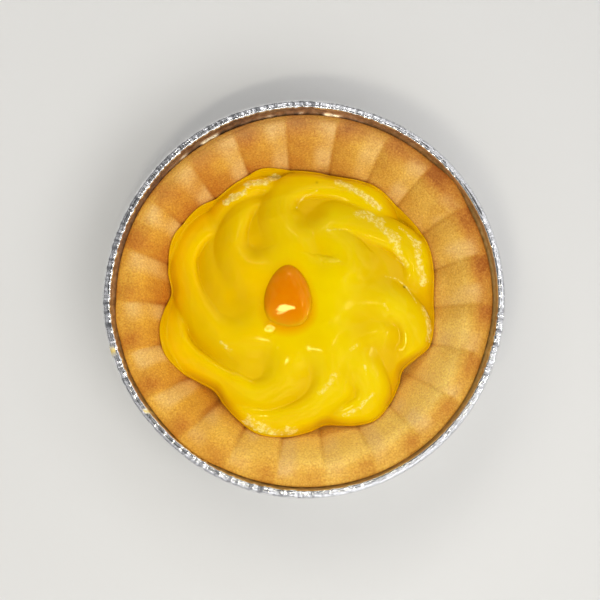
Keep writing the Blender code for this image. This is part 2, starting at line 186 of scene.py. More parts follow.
# Where the curd meets the crust: radius from the swirl's axis, each way.
OUTLINE_BEARINGS = (
    -8, 0, 9, 18, 31, 49, 62, 74, 86, 98, 108, 116, 122, 128, 137, 147, 155, 162, 168, 175, 185,
    198, 208, 218, 224, 231, 238, 249, 259, 268, 275, 283, 297, 306, 315, 323, 333, 344, 352, 360,
    369,
)
OUTLINE_RADII = (
    29.5, 28.9, 28.8, 28.9, 30.1, 29.9, 30.4, 29.9, 28.9, 29.1, 29.2, 27.3, 26.3, 27.2, 28.6,
    29.5, 28.5, 27.1, 26.3, 27.2, 28.3, 28.9, 27.7, 26.5, 25.8, 26.8, 28.5, 30.2, 29.8, 28.4,
    27.2, 28.5, 30.0, 29.8, 29.5, 28.8, 29.3, 30.0, 29.5, 28.9, 28.8,
)
# Degrees that the mesh's columns turn with the ropes, by share of the outline's radius.
TWIST_SHARES = (0.0, 0.5, 0.65, 0.8, 0.9, 1.0)
TWISTS = (0.0, 0.0, 6.0, 20.0, 30.0, 36.0)
# Strips where the curd's skin has dried and wrinkled, painted pale as highlights, and thin painted
# glint lines, along its crests and edges: half width and strength, then (bearing, radius) from end
# to end.
SKIN_HIGHLIGHT_STRIPS = (
    (0.6, 1.6, (325, 26.7), (330, 26.8), (334, 26.5)),
    (0.7, 1.8, (337, 27.7), (341, 27.3), (345, 27.4), (350, 28.0)),
    (0.6, 1.3, (18, 27.5), (25, 27.0), (30, 27.0), (36, 26.6), (40, 26.9)),
    (0.9, 1.0, (34, 22.9), (38, 23.5), (44, 23.7), (51, 23.8), (56, 24.4)),
    (0.5, 0.8, (56, 24.4), (62, 23.6), (66, 23.6), (71, 24.1)),
    (0.25, 0.8, (53, 26.9), (58, 27.5), (63, 27.9)),
    (0.7, 1.0, (63, 27.9), (68, 27.4), (72, 26.8), (77, 26.8), (80, 26.7)),
    (0.22, 0.7, (74, 19.1), (77, 21.5), (82, 23.0), (86, 24.0), (90, 24.9)),
    (0.22, 0.7, (-1, 20.2), (1, 21.8), (3, 22.7), (7, 23.5), (9, 24.2)),
    (0.35, 0.5, (23, 16.0), (31, 17.5)),
    (0.3, 0.6, (93, 18.0), (96, 18.7)),
    (0.5, 0.9, (92, 26.6), (100, 28.3), (106, 28.8)),
    (0.35, 0.6, (128, 15.4), (134, 15.1)),
    (0.3, 0.7, (135, 19.6), (138, 21.1)),
    (0.35, 0.8, (141, 25.0), (146, 25.2), (151, 25.7), (158, 25.8)),
    (0.7, 0.45, (155, 17.7), (162, 18.9), (167, 20.1)),
    (1.0, 0.9, (183, 27.6), (191, 28.0), (203, 27.3)),
    (0.35, 0.7, (234, 17.6), (241, 18.4)),
)
# Small beads on the curd that catch the light: (bearing, radius, reach, rise).
BEADS = ((262, 8.0, 0.4, 0.1), (205, 11.0, 0.4, 0.1), (35, 9.5, 0.4, 0.1), (307, 15.3, 0.4, 0.1))
# A small flat place of the curd tilted to the front light: (x, y), its half width, its slopes.
FACET = ((-7.25, -6.9), 0.9, (0.049, 0.25))
# Dark specks in the curd: (bearing, radius, half width, strength).
SPECKS = ((81.7, 22.6, 0.26, 1.0), (8.5, 26.1, 0.3, 0.35))

# Orange gel drop.
DROP_CENTRE = (-3.46, -0.2)
DROP_HALF_WIDTH = 4.95
DROP_HALF_LENGTH = 6.7
DROP_NARROWING = 0.22
DROP_HEIGHT = 3.6
# How far it is let into the curd, and the power that rounds its sides.
DROP_SINK = 0.1
DROP_ROUND = 0.62
# The curd's dimple under it: depth, and reach over the drop's outline.
DIMPLE_DEPTH = 1.5
DIMPLE_REACH = 1.02
# A flattened place of the drop: how far along from its centre, its height there over the seat,
# its rise for each millimetre toward +Y and toward +X, how gently it curves and how softly it
# runs into the rest.
FLAT_ALONG = -2.6
FLAT_HEIGHT = 3.0
FLAT_RISES = (0.26, 0.04)
FLAT_ROUND = 75.0
FLAT_BLEND = 0.12

# Studio, in metres: grey of the surroundings by height, 0 level with the tart and 1 straight up,
# the side that they are brighter on, the colour of the warm lamps and what lamps face.
WALLS = ((0.0, 0.2), (0.3, 0.6), (0.72, 0.85), (0.86, 0.5), (0.95, 0.05))
LIT_FROM = (0.85, -0.5, 0.0)
WARM = (1.0, 0.95, 0.8)
LAMP_TARGET = (0, 0, 0.015)
# What the camera faces, the degrees it stands over the table and the width that fills its frame.
CAMERA_TARGET = (-0.00096, -0.00077, 0.021)
CAMERA_ELEVATION = 83
FRAME_WIDTH = 0.1254


# ---- curves and noise ----


def spline(place, values):
    """Smooth cubic curve through values at the whole numbers of place.

    Its slope at each value is half the step from the value before to the one after.
    """
    v = np.asarray(values, float)
    v = np.concatenate([[2 * v[0] - v[1]], v, [2 * v[-1] - v[-2]]])
    k = np.clip(np.asarray(place).astype(int), 0, len(v) - 4)
    f = place - k
    a, b, c, d = v[k], v[k + 1], v[k + 2], v[k + 3]
    square, cube = 2 * a - 5 * b + 4 * c - d, 3 * b - a - 3 * c + d
    return 0.5 * (2 * b + (c - a) * f + square * f**2 + cube * f**3)


def curve(x, stations, values):
    """Smooth curve through (stations, values), read at x."""
    return spline(np.interp(x, stations, np.arange(len(stations))), values)


def bump(bearing, centre, spread):
    """Bell of height 1 round a bearing: e to the minus half of (angle away / spread) squared."""
    away = (np.degrees(bearing) - centre + 180) % 360 - 180
    return np.exp(-0.5 * (away / spread) ** 2)


def bells(bearing, places):
    """Sum of bumps, each given as (bearing, amount, spread)."""
    return sum(amount * bump(bearing, centre, spread) for centre, amount, spread in places)


def spot(u, v, bearing, out, reach):
    """Bell of height 1 round a bearing and radius: e to the minus (distance / reach) squared."""
    at = np.radians(bearing)
    return np.exp(-((np.hypot(u - out * np.sin(at), v - out * np.cos(at)) / reach) ** 2))


def turns(count):
    """Bearings evenly round, in radians."""
    return np.arange(count) * TURN / count


def lattice(i, j, k, seed):
    """Scrambled value from 0 to 1 at whole-number places: products of the numbers, folded."""
    h = (i * 374761393 + j * 668265263 + k * 1274126177 + seed * 974711) & 0xFFFFFFFF
    h = ((h ^ (h >> 13)) * 1103515245) & 0xFFFFFFFF
    h = ((h ^ (h >> 15)) * 2246822519) & 0xFFFFFFFF
    return ((h >> 8) & 0xFFFF) / 65535.0


def grain(x, y, z, size, seed):
    """Noise from -1 to 1 with lumps about size across: lattice values, blended smoothly."""
    p = [np.asarray(c, float) / size + 517.3 for c in (x, y, z)]
    whole = [np.floor(c).astype(np.int64) for c in p]
    part = [c - w for c, w in zip(p, whole)]
    ease = [f * f * (3 - 2 * f) for f in part]
    total = 0.0
    for di in (0, 1):
        for dj in (0, 1):
            for dk in (0, 1):
                weight = 1.0
                for step, e in zip((di, dj, dk), ease):
                    weight = weight * (e if step else 1 - e)
                total = total + weight * lattice(whole[0] + di, whole[1] + dj, whole[2] + dk, seed)
    return 2 * total - 1


def grains(x, y, z, layers):
    """Sum of layers of noise, each given as (amount, size, seed)."""
    return sum(amount * grain(x, y, z, size, seed) for amount, size, seed in layers)


def round_grain(bearing, size, seed):
    """Noise along a bearing: grain read on a circle of 20 mm."""
    return grain(20 * np.sin(bearing), 20 * np.cos(bearing), 0 * bearing, size, seed)


# ---- shapes ----


def pleat_phase(bearing):
    """Counts pleats clockwise: a whole number in each crease."""
    mean, c1, s1, c2, s2 = PLEAT_DRIFT
    drift = (
        mean + c1 * np.cos(bearing) + s1 * np.sin(bearing)
        + c2 * np.cos(2 * bearing) + s2 * np.sin(2 * bearing)
    )
    return (np.degrees(bearing) - drift) * PLEATS / 360


def pleat_fold(bearing):
    """0 in a crease between two pleats, 1 near the middle: a sine arch, steeper on one side."""
    return np.sin(np.pi * (pleat_phase(bearing) % 1.0) ** 0.75) ** 0.8


def crust_height(x, y, fold=None):
    """Upper face of the pastry: the slope's curve and a depth times the pleats' fold, by radius.

    A fold that is given stands for pleat_fold.
    """
    r = np.hypot(x, y)
    if fold is None:
        fold = pleat_fold(np.arctan2(x, y))
    depth = np.interp(r, PLEAT_RADII, PLEAT_DEPTHS)
    return curve(r, CRUST_RADII, CRUST_HEIGHTS) + depth * (fold - PLEAT_BELOW)


def dome_height(r):
    """Height of the dome that the ropes' crests follow, by radius from the swirl's axis."""
    return curve(np.minimum(r, DOME_EDGE), DOME_RADII, DOME_HEIGHTS)


def rope_top(x, y, breadth, *stations):
    """Upper face of one rope: a section stood across the nearest place of its crest.

    The section is a parabola near the middle and half an ellipse near the edge: one less the
    square of (distance away / half width), to a power that falls from 1 to a half. The nearest
    place is the least of 65 along the crest, made finer by parabolas through its neighbours.
    """
    radii, bearings, lifts = np.transpose(stations)
    turned = np.unwrap(np.radians(bearings))

    def crest(place):
        r, b = spline(place, radii), spline(place, turned)
        return r * np.sin(b), r * np.cos(b)

    def gap(place):
        cx, cy = crest(place)
        return (x - cx) ** 2 + (y - cy) ** 2

    last = len(radii) - 1.0
    nearest = np.full(x.shape, np.inf)
    place = np.zeros(x.shape)
    for s in np.linspace(0, last, 65):
        d = gap(np.array(s))
        place = np.where(d < nearest, s, place)
        nearest = np.minimum(d, nearest)
    for step in (0.12, 0.06, 0.03):
        before, here, after = gap(place - step), gap(place), gap(place + step)
        bend = np.maximum(before - 2 * here + after, 1e-9)
        move = 0.5 * step * (before - after) / bend
        place = np.clip(place + np.clip(move, -step, step), 0, last)
    cx, cy = crest(place)
    ahead_x, ahead_y = crest(place + step)
    tx, ty = ahead_x - cx, ahead_y - cy
    ux, uy = x - cx, y - cy
    across = np.hypot(ux, uy)
    side = (tx * uy - ty * ux) / (np.hypot(tx, ty) * np.maximum(across, 1e-6))
    r = spline(place, radii)
    width = breadth * curve(r, ROPE_RADII, ROPE_HALF_WIDTHS) * (1 + ROPE_LEAN * side)
    inside = 1 - (across / width) ** 2
    roundness = np.interp(r, ROUND_RADII, ROUNDS)
    fall = np.interp(r, ROUND_RADII, FALLS)
    section = np.maximum(inside, 0) ** roundness + fall * np.minimum(inside, 0)
    lift = spline(place, lifts) + curve(r, ROPE_RADII, ROPE_RISES) * (section - 1)
    return np.maximum(dome_height(np.hypot(x, y)) + lift, ROPE_FLOOR)


def egg_reach(x, y):
    """Distance from the drop's centre over the egg's radius that way: 1 on its outline."""
    u = (x - DROP_CENTRE[0]) / DROP_HALF_WIDTH
    v = (y - DROP_CENTRE[1]) / DROP_HALF_LENGTH
    return np.hypot(u / (1 - DROP_NARROWING * v), v)


def curd_height(x, y):
    """Upper face of the curd: the core and the ropes joined by a soft maximum.

    The soft maximum is the logarithm of summed exponentials. Hollows and the drop's dimple, a
    power of one less the square of egg_reach, are taken off it.
    """
    u, v = x - SWIRL_AXIS[0], y - SWIRL_AXIS[1]
    r = np.hypot(u, v)
    blend = np.interp(r, BLEND_RADII, BLENDS)
    tops = [curve(r, CORE_RADII, CORE_HEIGHTS)] + [rope_top(u, v, *rope) for rope in ROPES]
    highest = np.max(tops, axis=0)
    joined = highest + blend * np.log(sum(np.exp((t - highest) / blend) for t in tops))
    for bearing, out, reach, depth in HOLLOWS:
        joined = joined - depth * spot(u, v, bearing, out, reach)
    inside = np.maximum(1 - (egg_reach(x, y) / DIMPLE_REACH) ** 2, 0)
    return joined - DIMPLE_DEPTH * inside**1.5


def height_at(x, y):
    """Curd_height at one place, as a number."""
    return float(curd_height(np.array([x]), np.array([y]))[0])


def curd_outline(bearing):
    """Radius from the swirl's axis, each way, at which the curd comes down on the crust."""
    return curve(np.degrees(bearing) % 360, OUTLINE_BEARINGS, OUTLINE_RADII)


def curd_face(x, y):
    """Curd_height and the crust's face with a lip over it, joined by a soft maximum.

    Near the outline it rounds down to the lip there in a quarter ellipse.
    """
    u, v = x - SWIRL_AXIS[0], y - SWIRL_AXIS[1]
    r, bearing = np.hypot(u, v), np.arctan2(u, v)
    edge = curd_outline(bearing)
    foot_x, foot_y = SWIRL_AXIS[0] + edge * np.sin(bearing), SWIRL_AXIS[1] + edge * np.cos(bearing)
    lip = crust_height(foot_x, foot_y) + CURD_LIP
    least = crust_height(x, y, 1.0) + CURD_LIP
    top = CURD_BLEND * np.logaddexp(curd_height(x, y) / CURD_BLEND, least / CURD_BLEND)
    share = np.clip((edge - r) / CURD_FLANK, 0, 1)
    return lip + (top - lip) * np.sqrt(share * (2 - share))


# ---- meshes ----


def ring_mesh(name, rings, first, last, finish, attributes):
    """Closed surface: a pole, rings of equal length joined by four-sided faces, and a pole.

    Each attribute has a value for every point of the rings.
    """
    rings = np.asarray(rings, float)
    rows, count = rings.shape[:2]
    points = np.concatenate([[first], rings.reshape(-1, 3), [last]]) * MM
    k = np.arange(count)
    n = (k + 1) % count
    start = 1 + np.arange(rows - 1)[:, None] * count
    quads = np.stack([start + k, start + count + k, start + count + n, start + n], axis=2)
    under = np.stack([np.zeros(count, int), 1 + k, 1 + n], axis=1)
    base = 1 + (rows - 1) * count
    over = np.stack([np.full(count, len(points) - 1), base + n, base + k], axis=1)
    corners = np.concatenate([under.ravel(), quads.ravel(), over.ravel()])
    sizes = np.concatenate([np.full(count, 3), np.full((rows - 1) * count, 4), np.full(count, 3)])
    mesh = bpy.data.meshes.new(name)
    mesh.vertices.add(len(points))
    mesh.vertices.foreach_set("co", points.astype(np.float32).ravel())
    mesh.loops.add(len(corners))
    mesh.loops.foreach_set("vertex_index", corners.astype(np.int32))
    mesh.polygons.add(len(sizes))
    mesh.polygons.foreach_set("loop_start", (np.cumsum(sizes) - sizes).astype(np.int32))
    mesh.polygons.foreach_set("use_smooth", np.ones(len(sizes), bool))
    mesh.update(calc_edges=True)
    for label, values in attributes.items():
        layer = mesh.attributes.new(label, "FLOAT", "POINT")
        values = np.asarray(values, float).reshape(-1)
        layer.data.foreach_set(
            "value", np.concatenate([values[:1], values, values[-1:]]).astype(np.float32)
        )
    mesh.materials.append(finish)
    piece = bpy.data.objects.new(name, mesh)
    bpy.context.scene.collection.objects.link(piece)
    return piece


def resample(line, steps):
    """Points along a smooth curve through line, with steps[i] of them from station i to i + 1."""
    place = np.concatenate([i + np.arange(s) / s for i, s in enumerate(steps)] + [[len(steps)]])
    line = np.asarray(line)
    return spline(place, line[:, 0]), spline(place, line[:, 1])


def dent_depth(bearing, height):
    """How far inward the rim is dented: the dents' bells, growing evenly with height."""
    share = np.clip((height - DENT_FOOT) / (DENT_TOP - DENT_FOOT), 0, 1)
    return share * bells(bearing, RIM_DENTS)


def wrinkled(bearing):
    """Share of wrinkles in the foil's ledge at a bearing."""
    return np.minimum(bells(bearing, WRINKLED), 1)


def foil_cup(finish):
    """The foil line turned about the axis, with folds in the wall and crimps across the rim.

    The sheet's two faces stand half a thickness each side of the line, and all relief moves both
    along the line's normal. A fold is a sharp-topped wave of the bearing, a crimp a narrow bell
    of the bearing. The groove and the wrinkles are bells across the rim and its ledge, broken up
    by noise. Dents move the sheet inward.
    """
    radius, height = resample(FOIL_LINE, FOIL_STEPS)
    dr, dz = np.gradient(radius), np.gradient(height)
    out_r, out_z = (np.array([dz, -dr]) / np.hypot(dr, dz))[:, :, None]
    r, z = radius[:, None], height[:, None]
    bearing = turns(FOIL_COLUMNS)

    rng = np.random.default_rng(7)
    wobble = sum(
        amount * np.sin(waves * bearing + start)
        for (waves, amount), start in zip(WALL_WAVES, rng.uniform(0, TURN, len(WALL_WAVES)))
    )
    fold = 1 - 2 * np.abs(np.sin(0.5 * WALL_FOLDS * bearing + 1.4 * wobble)) ** 0.8
    fold = fold * (0.6 + 0.4 * round_grain(bearing, 5.0, 3))
    on_wall = np.clip((z - 1.5) / 12, 0, 1) * np.clip((19.2 - z) / 1.5, 0, 1)

    at = (np.arange(CRIMPS) + rng.uniform(-0.4, 0.4, CRIMPS)) * 360 / CRIMPS
    depths, spreads = rng.uniform(*CRIMP_DEPTHS, CRIMPS), rng.uniform(*CRIMP_SPREADS, CRIMPS)
    crimp = bells(bearing, zip(at, depths, spreads))
    between = np.clip(1 - crimp / 0.07, 0, 1)
    crimped = np.minimum(0.3 + bells(bearing, CRIMPED), 1)
    on_rim = np.clip((z - 19.6) / 1.2, 0, 1) * np.clip(1 - (r - 41.45) / 0.45, 0.2, 1)

    groove = np.exp(-0.5 * ((r - GROOVE_RADIUS) / GROOVE_WIDTH) ** 2) * (z > 20.7)
    groove = groove * np.clip(0.5 + 1.5 * round_grain(bearing, 0.9, 4), 0, 1)
    groove = groove * np.minimum(0.15 + bells(bearing, GROOVED), 1)
    wrinkle = np.exp(-0.5 * ((r - LEDGE_RADIUS) / LEDGE_WIDTH) ** 2) * (z > 17.8)
    wrinkle = wrinkle * np.clip(0.3 + 1.8 * round_grain(bearing, 1.6, 6), 0, 1)
    wrinkle = wrinkle * wrinkled(bearing)
    crumple = grain(r * np.sin(bearing), r * np.cos(bearing), z, 1.2, 8)

    move = on_wall * (WALL_SWELL + FOLD_DEPTH * fold) - on_rim * crimp * crimped
    move = move + GROOVE_DEPTH * groove - LEDGE_DEPTH * wrinkle
    move = move + CRUMPLE * (on_wall + on_rim) * crumple
    half = 0.5 * FOIL_THICKNESS
    faces = []
    for away in (move + half, move - half):
        rr = r + out_r * away - dent_depth(bearing, z)
        zz = np.maximum(z + out_z * away, 0.0)
        faces.append(np.stack([rr * np.sin(bearing), rr * np.cos(bearing), zz], axis=2))
    outer, inner = faces

    # Painted brownish reflection of the crust, in painted shade, on the inner face beside it:
    # darker at the upper left, with painted light at the right and below. Two yellow smears on the
    # rim, and paler streaks on the ledge's wrinkles. Painted shade between the crimps and in the
    # groove.
    crust_reflection = np.clip((z - 17.5) / 0.8, 0, 1) * np.clip((40.5 - r) / 0.15, 0, 1)
    crust_reflection = crust_reflection * (1 - 0.85 * np.minimum(1.3 * wrinkle, 1))
    # Painted shade: darker at the upper left.
    upper_left_shade = crust_reflection * bump(bearing, 330, 30)
    # Painted light: paler at the right and below.
    painted_light = 0.6 * crust_reflection * np.minimum(bump(bearing, 95, 40) + bump(bearing, 200, 42), 1)
    smear_and_painted_light = bump(bearing, 254, 0.8) * (r > 40.9)
    smear_and_painted_light = smear_and_painted_light + bump(bearing, 231.6 + 1.3 * (r - 39.2), 0.5) * (r < 41.3)
    smear_and_painted_light = smear_and_painted_light * (z > 18)
    # Painted shade between the crimps and in the groove.
    shade = 0.75 * on_rim * between * np.clip(1.4 * crimped - 0.4, 0, 1)
    shade = np.maximum(np.maximum(shade, groove), upper_left_shade)

    def on_faces(outside, inside):
        return np.concatenate([outside, inside[::-1]])

    none = np.zeros(crust_reflection.shape)
    low = FOIL_LINE[0][1]
    return ring_mesh(
        "foil", on_faces(outer, inner), (0, 0, low - half), (0, 0, low + half), finish,
        {
            "painted_reflection": on_faces(none, crust_reflection - 0.4 * upper_left_shade),
            "smear_and_painted_light": on_faces(smear_and_painted_light, np.maximum(smear_and_painted_light + 0.6 * wrinkle, painted_light)),
            "shade": on_faces(none, shade),
        },
    )


def pastry_shell(finish):
    """Outside line turned about the axis, then crust_height over rings that shrink to the floor.

    The rim bulges outward, never past the foil's inner face. Lumps of three sizes stand on it.
    The columns lie evenly within each pleat: their bearings are those at which pleat_phase counts
    evenly, found by correcting them a few times.
    """
    even = turns(PLEATS * COLUMNS_A_PLEAT)
    bearing = even
    for _ in range(8):
        bearing = even + bearing - pleat_phase(bearing) * TURN / PLEATS
    line_r, line_z = resample(SHELL_OUTSIDE, SHELL_STEPS)
    line_r, line_z = line_r[:, None], line_z[:, None]
    share = np.clip((line_z - 18.7) / 0.9, 0, 1) * np.clip((line_r - 37.0) / 2.2, 0, 1)
    wall_r, wall_z = np.transpose(FOIL_WALL)
    room = np.interp(line_z, wall_z, wall_r) - SHELL_GAP
    room = room - dent_depth(bearing, line_z) - WRINKLE_ROOM * wrinkled(bearing)
    rim_r = np.minimum(line_r + share * bells(bearing, EDGE_BULGES), room)
    rim = [rim_r * np.sin(bearing), rim_r * np.cos(bearing), line_z + 0 * bearing]
    rows = np.concatenate([np.linspace(37.1, 25.0, 74), np.linspace(24.6, 2.0, 12)])[:, None]
    x, y = rows * np.sin(bearing), rows * np.cos(bearing)
    rings = np.concatenate([np.stack(rim, axis=2), np.stack([x, y, crust_height(x, y)], axis=2)])
    x, y, z = np.moveaxis(rings, 2, 0)
    seen = np.where(np.arange(len(rings)) < len(line_r) - SHELL_RIM_RINGS, 0.3, 1.0)[:, None]
    z += seen * np.clip((z - 6) / 6, 0, 1) * grains(x, y, z, LUMPS)

    # Browning: patchy and stronger on the rim's top. Painted shadow low on the slope at the upper
    # left, next to the curd's edge. Darker where each pleat starts. Painted highlights further on
    # along each pleat, stronger at the left, which is redder as well.
    r, bearing = np.hypot(x, y), np.arctan2(x, y)
    phase = pleat_phase(bearing) % 1.0
    outer = np.clip((r - 34) / 3, 0, 1)
    left = bump(bearing, 235, 32)
    ridge = np.exp(-0.5 * ((r - 37.0) / 2.2) ** 2) * (0.5 + 0.9 * grain(x, y, z, 7.0, 24))
    # Painted shadow low on the slope at the upper left, next to the curd's edge.
    foot_shadow = np.exp(-0.5 * ((r - 30.0) / 1.8) ** 2) * bump(bearing, 300, 45)
    start = np.exp(-0.5 * ((phase - 0.2) / 0.17) ** 2) * (0.5 + 0.5 * outer) * (1 + 0.7 * left)
    toast_and_shadow = 0.28 + 0.15 * ridge + 0.3 * foot_shadow + 0.2 * start + 0.26 * grains(x, y, z, BLOTCHES)
    toast_and_shadow = toast_and_shadow + outer * bells(bearing, BROWN_OUTSIDE)
    toast_and_shadow = toast_and_shadow + (1 - outer) * bells(bearing, BROWN_INSIDE) + bells(bearing, BROWN_ALL)
    # Painted highlight on the far side of each pleat.
    pleat_highlight = np.clip((phase - 0.52) / 0.2, 0, 1) * np.clip((0.985 - phase) / 0.04, 0, 1)
    pleat_highlight = pleat_highlight * np.clip((r - 27.5) / 3, 0, 1) * np.clip((38.5 - r) / 2, 0, 1)
    pleat_highlight = pleat_highlight * np.clip(0.6 + 0.3 * left + 0.9 * grain(x, y, z, 4.0, 25), 0, 1)
    pleat_highlight = pleat_highlight * (1 + 0.6 * left) + 0.35 * outer * bump(bearing, 348, 28)
    # Painted shade in the creases, strongest at the upper left and left, fading out toward the rim.
    crease = np.exp(-0.5 * (np.minimum(phase, 1 - phase) / (0.03 + 0.04 * left)) ** 2)
    crease = crease * np.minimum(0.3 + 0.7 * bump(bearing, 305, 60) + 0.5 * left, 1)
    crease = crease * np.clip((37 - r) / 6, 0, 1)
    warm = bump(bearing, 255, 60) * (1 - 0.4 * outer) * (1 - 0.4 * np.clip(pleat_highlight, 0, 1))
    return ring_mesh(
        "pastry", rings, (0, 0, SHELL_OUTSIDE[0][1]), (0, 0, CRUST_HEIGHTS[0]), finish,
        {"toast_and_shadow": np.clip(toast_and_shadow, 0, 1), "pleat_highlight": pleat_highlight, "crease": crease, "warm": warm},
    )


def skin_highlight_share(r, bearing, ragged):
    """Share of dried film with painted highlights: falls off with distance from each strip's line,
    unevenly.
    """
    skin_and_highlight = np.zeros(r.shape)
    for wide, strength, *line in SKIN_HIGHLIGHT_STRIPS:
        marks, radii = np.transpose(line)
        middle = 0.5 * (marks[0] + marks[-1])
        turn = (bearing - middle + 180) % 360 - 180 + middle
        beyond = np.maximum(np.maximum(marks[0] - turn, turn - marks[-1]), 0) * np.radians(r)
        away = np.hypot(r - np.interp(turn, marks, radii), beyond)
        skin_and_highlight = np.maximum(skin_and_highlight, strength * np.clip(1.5 - away / wide + 1.1 * ragged, 0, 1))
    return skin_and_highlight


def lemon_curd(finish):
    """Curd_face over rings that shrink from the outline to the axis, with fine relief on it.

    The underside follows the crust just above it. A quarter ellipse joins it to the top at the
    shoulder. Beads are bells, and one small place is bent to a plane.
    """
    even = turns(CURD_COLUMNS)
    cx, cy = SWIRL_AXIS

    def at(share, outward=0.0):
        bearing = even + np.radians(curve(share, TWIST_SHARES, TWISTS))
        radius = share * curd_outline(bearing) + outward
        return cx + radius * np.sin(bearing), cy + radius * np.cos(bearing)

    x, y = at(np.array(CURD_UNDER)[:, None])
    under = np.stack([x, y, crust_height(x, y) + CURD_LIFT], axis=2)
    x, y = at(CURD_SHOULDER)
    tall = curd_face(x, y) - crust_height(x, y) + CURD_SINK
    turn = 0.5 * np.pi * np.linspace(0, 1, 10)[:-1, None]
    x, y = at(CURD_SHOULDER, CURD_ROLL * np.cos(turn))
    roll = np.stack([x, y, crust_height(x, y) - CURD_SINK + tall * np.sin(turn)], axis=2)
    close = CURD_SHOULDER - 0.091 * np.linspace(0, 1, CURD_EDGE_RINGS) ** 1.3
    shares = np.concatenate([close, np.linspace(0.894, 0.015, CURD_TOP_RINGS)])
    x, y = at(shares[:, None])
    z = curd_face(x, y)

    # Marks: dried skin painted pale as highlights, painted shade in the hollows between the ropes
    # and along the edge, painted shade in gold at the left, specks and the orange that bleeds from
    # the drop's lower end.
    u, v = x - cx, y - cy
    r, bearing = np.hypot(u, v), np.arctan2(u, v)
    ragged = 0.5 * grain(x, y, z, 1.6, 34) + 0.5 * grain(x, y, z, 0.7, 35)
    skin_and_highlight = skin_highlight_share(r, np.degrees(bearing), ragged)
    below = dome_height(r) - z
    # Painted shade in the hollows between the ropes and along the curd's edge, widest at the left.
    hollow_shade = 0.75 * np.clip((below - 0.2) / 2.0, 0, 1) * np.clip((below + 1) / 2, 0, 1)
    inward = curd_outline(bearing) - r
    hollow_shade = np.maximum(hollow_shade, np.clip(1 - inward / (0.8 + 2.0 * bump(bearing, 290, 50)), 0, 1))
    # Painted shade: more golden at the left, most near the edge.
    left_shade = bump(bearing, 285, 50) * (0.5 + 0.5 * np.clip(1.6 - inward / 3, 0, 1))
    speck = sum(dark * spot(u, v, around, out, reach) for around, out, reach, dark in SPECKS)
    low = bump(np.arctan2(x - DROP_CENTRE[0], y - DROP_CENTRE[1]), 168, 42)
    bleed = np.clip((1.3 - egg_reach(x, y)) / 0.3, 0, 1) * np.minimum(0.35 + low, 1)

    wrinkle = 1 - 2 * np.abs(grain(x, y, z, 1.3, 31)) - np.abs(grain(x, y, z, 0.7, 32))
    z = z + np.minimum(skin_and_highlight, 1) * 0.05 * wrinkle + 0.03 * grain(x, y, z, 2.5, 33)
    z = z + sum(rise * spot(u, v, around, out, reach) for around, out, reach, rise in BEADS)
    (flat_x, flat_y), wide, (rise_x, rise_y) = FACET
    flat = height_at(flat_x, flat_y) + rise_x * (x - flat_x) + rise_y * (y - flat_y)
    share = np.clip(1.9 - np.hypot(x - flat_x, y - flat_y) / wide, 0, 1)
    z = z + share * share * (3 - 2 * share) * (flat - z)

    def marked(values, elsewhere=0.0):
        rest = np.full((len(under) + len(roll), CURD_COLUMNS), elsewhere)
        return np.concatenate([rest, values])

    rings = np.concatenate([under, roll, np.stack([x, y, z], axis=2)])
    return ring_mesh(
        "curd", rings, (cx, cy, CRUST_HEIGHTS[0] + CURD_LIFT), (cx, cy, height_at(cx, cy)), finish,
        {
            "skin_and_highlight": marked(skin_and_highlight), "hollow_shade": marked(hollow_shade, 1.0), "left_shade": marked(left_shade),
            "speck": marked(speck), "bleed": marked(bleed),
        },
    )


def gel_drop(finish):
    """Rings of the egg's outline: half an ellipsoid, with one side softly cut flat.

    The outline is where egg_reach is 1, found by correcting the radius many times. The height is
    a power of one less the square of the share of the outline's radius. The cut is the soft
    minimum of that and of a wide, slightly domed slope: a logarithm of summed exponentials.
    """
    bearing = turns(160)
    cx, cy = DROP_CENTRE
    radius = np.full(len(bearing), DROP_HALF_WIDTH)
    for _ in range(40):
        radius = radius / egg_reach(cx + radius * np.sin(bearing), cy + radius * np.cos(bearing))
    seat = height_at(cx, cy)

    def at(share):
        return cx + share * radius * np.sin(bearing), cy + share * radius * np.cos(bearing)

    def cut(x, y, z):
        along, across = y - cy - FLAT_ALONG, x - cx
        flat = seat + FLAT_HEIGHT + FLAT_RISES[0] * along + FLAT_RISES[1] * across
        flat = flat - (across**2 + along**2) / FLAT_ROUND
        return -FLAT_BLEND * np.logaddexp(-z / FLAT_BLEND, -flat / FLAT_BLEND)

    x, y = at(np.array((0.3, 0.6, 0.85, 0.97))[:, None])
    under = np.stack([x, y, curd_height(x, y) - DROP_SINK], axis=2)
    share = np.cos(0.5 * np.pi * np.linspace(0, 1, 56)[:-1, None])
    x, y = at(share)
    edge = curd_height(*at(1.0)) - DROP_SINK
    z = cut(x, y, edge + (seat + DROP_HEIGHT - edge) * (1 - share**2) ** DROP_ROUND)
    low, right = bump(bearing, 185, 50), bump(bearing, 95, 35)
    thin = (0.7 + 0.3 * low) * share**5 + 0.5 * low * share**2 + 0.4 * right * share**3
    return ring_mesh(
        "gel_drop", np.concatenate([under, np.stack([x, y, z], axis=2)]),
        (cx, cy, seat - DROP_SINK), (cx, cy, cut(cx, cy, seat + DROP_HEIGHT)), finish,
        {"thin": np.concatenate([np.ones(under.shape[:2]), np.clip(thin, 0, 1)])},
    )


# ---- finishes ----


def tint(red, green, blue):
    """Colour from screen values of 0 to 255, as the linear light that shaders work in."""
    c = np.array([red, green, blue]) / 255
    return (*np.where(c <= 0.04045, c / 12.92, ((c + 0.055) / 1.055) ** 2.4), 1.0)


